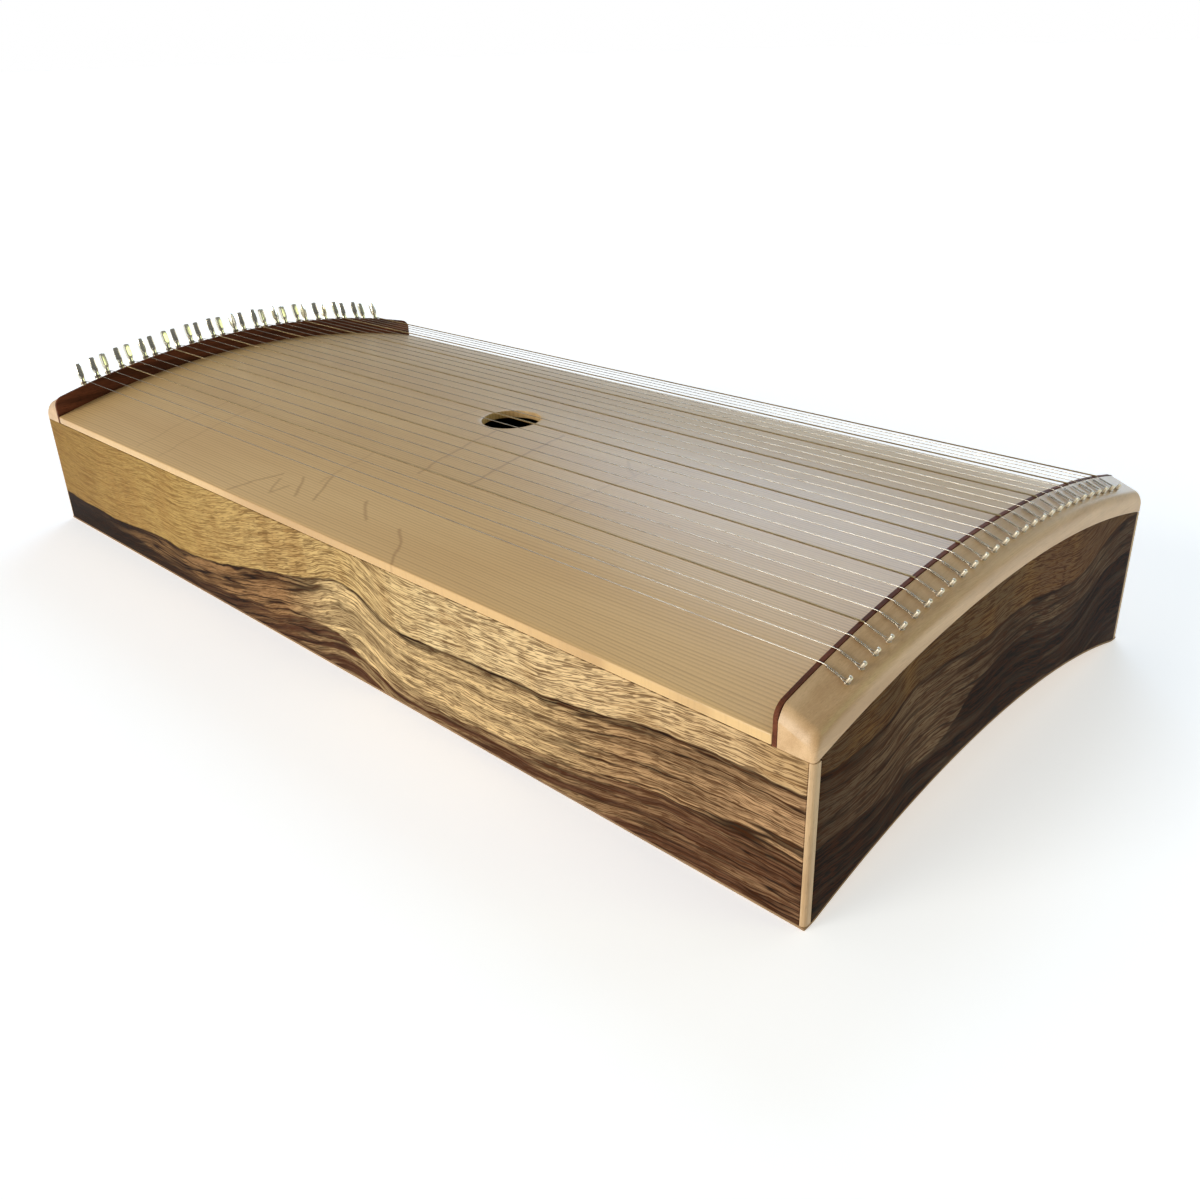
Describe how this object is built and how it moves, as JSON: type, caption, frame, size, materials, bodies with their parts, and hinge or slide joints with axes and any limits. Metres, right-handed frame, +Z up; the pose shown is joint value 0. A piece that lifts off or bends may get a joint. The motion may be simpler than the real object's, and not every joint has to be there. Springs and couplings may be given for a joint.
{
  "type": "body zither",
  "caption": "Long arched sound box with strings over a curved soundboard, tuning pins at one end, hitch pins at the other, and a hollow underside that lies over a body.",
  "frame": {"origin": "middle of the box's footprint, on the surface that it stands on", "axes": "+X along the strings, from the tuning pins to the hitch pins; +Y across the strings, to the rear side; +Z up"},
  "size_m": [0.9, 0.426, 0.1751],
  "materials": {
    "figured_wood": "oiled, satin",
    "soundboard_wood": "oiled, matt",
    "maple": "oiled, satin",
    "dark_wood": "oiled, satin",
    "brace_wood": "planed, bare",
    "nickel": "nickel plated",
    "string_steel": "plain drawn wire",
    "string_bronze": "wound wire"
  },
  "bodies": {
    "root": {"soundboard": "soundboard_wood", "back_plate": "maple", "front_side_panel": "figured_wood", "rear_side_panel": "figured_wood", "left_end_panel": "figured_wood", "right_end_panel": "figured_wood", "front_left_corner_strip": "maple", "front_right_corner_strip": "maple", "rear_left_corner_strip": "maple", "rear_right_corner_strip": "maple", "tuning_bridge": "dark_wood", "hitch_bridge": "dark_wood", "tuning_block": "maple", "hitch_block": "maple", "front_soundboard_lining": "brace_wood", "rear_soundboard_lining": "brace_wood", "front_back_lining": "brace_wood", "rear_back_lining": "brace_wood", "front_left_corner_block": "brace_wood", "front_right_corner_block": "brace_wood", "rear_left_corner_block": "brace_wood", "rear_right_corner_block": "brace_wood", "soundboard_brace_1": "brace_wood", "soundboard_brace_2": "brace_wood", "soundboard_brace_3": "brace_wood", "soundboard_brace_4": "brace_wood", "back_brace_1": "brace_wood", "back_brace_2": "brace_wood", "back_brace_3": "brace_wood"},
    "tuning_pin_01": {"tuning_pin_01": "nickel"},
    "tuning_pin_02": {"tuning_pin_02": "nickel"},
    "tuning_pin_03": {"tuning_pin_03": "nickel"},
    "tuning_pin_04": {"tuning_pin_04": "nickel"},
    "tuning_pin_05": {"tuning_pin_05": "nickel"},
    "tuning_pin_06": {"tuning_pin_06": "nickel"},
    "tuning_pin_07": {"tuning_pin_07": "nickel"},
    "tuning_pin_08": {"tuning_pin_08": "nickel"},
    "tuning_pin_09": {"tuning_pin_09": "nickel"},
    "tuning_pin_10": {"tuning_pin_10": "nickel"},
    "tuning_pin_11": {"tuning_pin_11": "nickel"},
    "tuning_pin_12": {"tuning_pin_12": "nickel"},
    "tuning_pin_13": {"tuning_pin_13": "nickel"},
    "tuning_pin_14": {"tuning_pin_14": "nickel"},
    "tuning_pin_15": {"tuning_pin_15": "nickel"},
    "tuning_pin_16": {"tuning_pin_16": "nickel"},
    "tuning_pin_17": {"tuning_pin_17": "nickel"},
    "tuning_pin_18": {"tuning_pin_18": "nickel"},
    "tuning_pin_19": {"tuning_pin_19": "nickel"},
    "tuning_pin_20": {"tuning_pin_20": "nickel"},
    "tuning_pin_21": {"tuning_pin_21": "nickel"},
    "tuning_pin_22": {"tuning_pin_22": "nickel"},
    "tuning_pin_23": {"tuning_pin_23": "nickel"},
    "tuning_pin_24": {"tuning_pin_24": "nickel"},
    "tuning_pin_25": {"tuning_pin_25": "nickel"},
    "tuning_pin_26": {"tuning_pin_26": "nickel"},
    "tuning_pin_27": {"tuning_pin_27": "nickel"},
    "tuning_pin_28": {"tuning_pin_28": "nickel"}
  },
  "joints": [
    {"name": "tuning_pin_01_turn", "type": "hinge", "parent": "root", "child": "tuning_pin_01", "pos_m": [-0.4378, -0.1755, 0.13285], "axis": [-0.342, 0, 0.9397], "range_deg": [-360, 90]},
    {"name": "tuning_pin_02_turn", "type": "hinge", "parent": "root", "child": "tuning_pin_02", "pos_m": [-0.4328, -0.1625, 0.13756], "axis": [-0.342, 0, 0.9397], "range_deg": [-360, 90]},
    {"name": "tuning_pin_03_turn", "type": "hinge", "parent": "root", "child": "tuning_pin_03", "pos_m": [-0.4378, -0.1495, 0.13814], "axis": [-0.342, 0, 0.9397], "range_deg": [-360, 90]},
    {"name": "tuning_pin_04_turn", "type": "hinge", "parent": "root", "child": "tuning_pin_04", "pos_m": [-0.4328, -0.1365, 0.14241], "axis": [-0.342, 0, 0.9397], "range_deg": [-360, 90]},
    {"name": "tuning_pin_05_turn", "type": "hinge", "parent": "root", "child": "tuning_pin_05", "pos_m": [-0.4378, -0.1235, 0.14255], "axis": [-0.342, 0, 0.9397], "range_deg": [-360, 90]},
    {"name": "tuning_pin_06_turn", "type": "hinge", "parent": "root", "child": "tuning_pin_06", "pos_m": [-0.4328, -0.1105, 0.14639], "axis": [-0.342, 0, 0.9397], "range_deg": [-360, 90]},
    {"name": "tuning_pin_07_turn", "type": "hinge", "parent": "root", "child": "tuning_pin_07", "pos_m": [-0.4378, -0.0975, 0.14611], "axis": [-0.342, 0, 0.9397], "range_deg": [-360, 90]},
    {"name": "tuning_pin_08_turn", "type": "hinge", "parent": "root", "child": "tuning_pin_08", "pos_m": [-0.4328, -0.0845, 0.14952], "axis": [-0.342, 0, 0.9397], "range_deg": [-360, 90]},
    {"name": "tuning_pin_09_turn", "type": "hinge", "parent": "root", "child": "tuning_pin_09", "pos_m": [-0.4378, -0.0715, 0.14882], "axis": [-0.342, 0, 0.9397], "range_deg": [-360, 90]},
    {"name": "tuning_pin_10_turn", "type": "hinge", "parent": "root", "child": "tuning_pin_10", "pos_m": [-0.4328, -0.0585, 0.15181], "axis": [-0.342, 0, 0.9397], "range_deg": [-360, 90]},
    {"name": "tuning_pin_11_turn", "type": "hinge", "parent": "root", "child": "tuning_pin_11", "pos_m": [-0.4378, -0.0455, 0.15069], "axis": [-0.342, 0, 0.9397], "range_deg": [-360, 90]},
    {"name": "tuning_pin_12_turn", "type": "hinge", "parent": "root", "child": "tuning_pin_12", "pos_m": [-0.4328, -0.0325, 0.15326], "axis": [-0.342, 0, 0.9397], "range_deg": [-360, 90]},
    {"name": "tuning_pin_13_turn", "type": "hinge", "parent": "root", "child": "tuning_pin_13", "pos_m": [-0.4378, -0.0195, 0.15172], "axis": [-0.342, 0, 0.9397], "range_deg": [-360, 90]},
    {"name": "tuning_pin_14_turn", "type": "hinge", "parent": "root", "child": "tuning_pin_14", "pos_m": [-0.4328, -0.0065, 0.15388], "axis": [-0.342, 0, 0.9397], "range_deg": [-360, 90]},
    {"name": "tuning_pin_15_turn", "type": "hinge", "parent": "root", "child": "tuning_pin_15", "pos_m": [-0.4378, 0.0065, 0.15193], "axis": [-0.342, 0, 0.9397], "range_deg": [-360, 90]},
    {"name": "tuning_pin_16_turn", "type": "hinge", "parent": "root", "child": "tuning_pin_16", "pos_m": [-0.4328, 0.0195, 0.15367], "axis": [-0.342, 0, 0.9397], "range_deg": [-360, 90]},
    {"name": "tuning_pin_17_turn", "type": "hinge", "parent": "root", "child": "tuning_pin_17", "pos_m": [-0.4378, 0.0325, 0.15131], "axis": [-0.342, 0, 0.9397], "range_deg": [-360, 90]},
    {"name": "tuning_pin_18_turn", "type": "hinge", "parent": "root", "child": "tuning_pin_18", "pos_m": [-0.4328, 0.0455, 0.15264], "axis": [-0.342, 0, 0.9397], "range_deg": [-360, 90]},
    {"name": "tuning_pin_19_turn", "type": "hinge", "parent": "root", "child": "tuning_pin_19", "pos_m": [-0.4378, 0.0585, 0.14986], "axis": [-0.342, 0, 0.9397], "range_deg": [-360, 90]},
    {"name": "tuning_pin_20_turn", "type": "hinge", "parent": "root", "child": "tuning_pin_20", "pos_m": [-0.4328, 0.0715, 0.15077], "axis": [-0.342, 0, 0.9397], "range_deg": [-360, 90]},
    {"name": "tuning_pin_21_turn", "type": "hinge", "parent": "root", "child": "tuning_pin_21", "pos_m": [-0.4378, 0.0845, 0.14757], "axis": [-0.342, 0, 0.9397], "range_deg": [-360, 90]},
    {"name": "tuning_pin_22_turn", "type": "hinge", "parent": "root", "child": "tuning_pin_22", "pos_m": [-0.4328, 0.0975, 0.14806], "axis": [-0.342, 0, 0.9397], "range_deg": [-360, 90]},
    {"name": "tuning_pin_23_turn", "type": "hinge", "parent": "root", "child": "tuning_pin_23", "pos_m": [-0.4378, 0.1105, 0.14444], "axis": [-0.342, 0, 0.9397], "range_deg": [-360, 90]},
    {"name": "tuning_pin_24_turn", "type": "hinge", "parent": "root", "child": "tuning_pin_24", "pos_m": [-0.4328, 0.1235, 0.1445], "axis": [-0.342, 0, 0.9397], "range_deg": [-360, 90]},
    {"name": "tuning_pin_25_turn", "type": "hinge", "parent": "root", "child": "tuning_pin_25", "pos_m": [-0.4378, 0.1365, 0.14045], "axis": [-0.342, 0, 0.9397], "range_deg": [-360, 90]},
    {"name": "tuning_pin_26_turn", "type": "hinge", "parent": "root", "child": "tuning_pin_26", "pos_m": [-0.4328, 0.1495, 0.14009], "axis": [-0.342, 0, 0.9397], "range_deg": [-360, 90]},
    {"name": "tuning_pin_27_turn", "type": "hinge", "parent": "root", "child": "tuning_pin_27", "pos_m": [-0.4378, 0.1625, 0.13561], "axis": [-0.342, 0, 0.9397], "range_deg": [-360, 90]},
    {"name": "tuning_pin_28_turn", "type": "hinge", "parent": "root", "child": "tuning_pin_28", "pos_m": [-0.4328, 0.1755, 0.1348], "axis": [-0.342, 0, 0.9397], "range_deg": [-360, 90]}
  ]
}
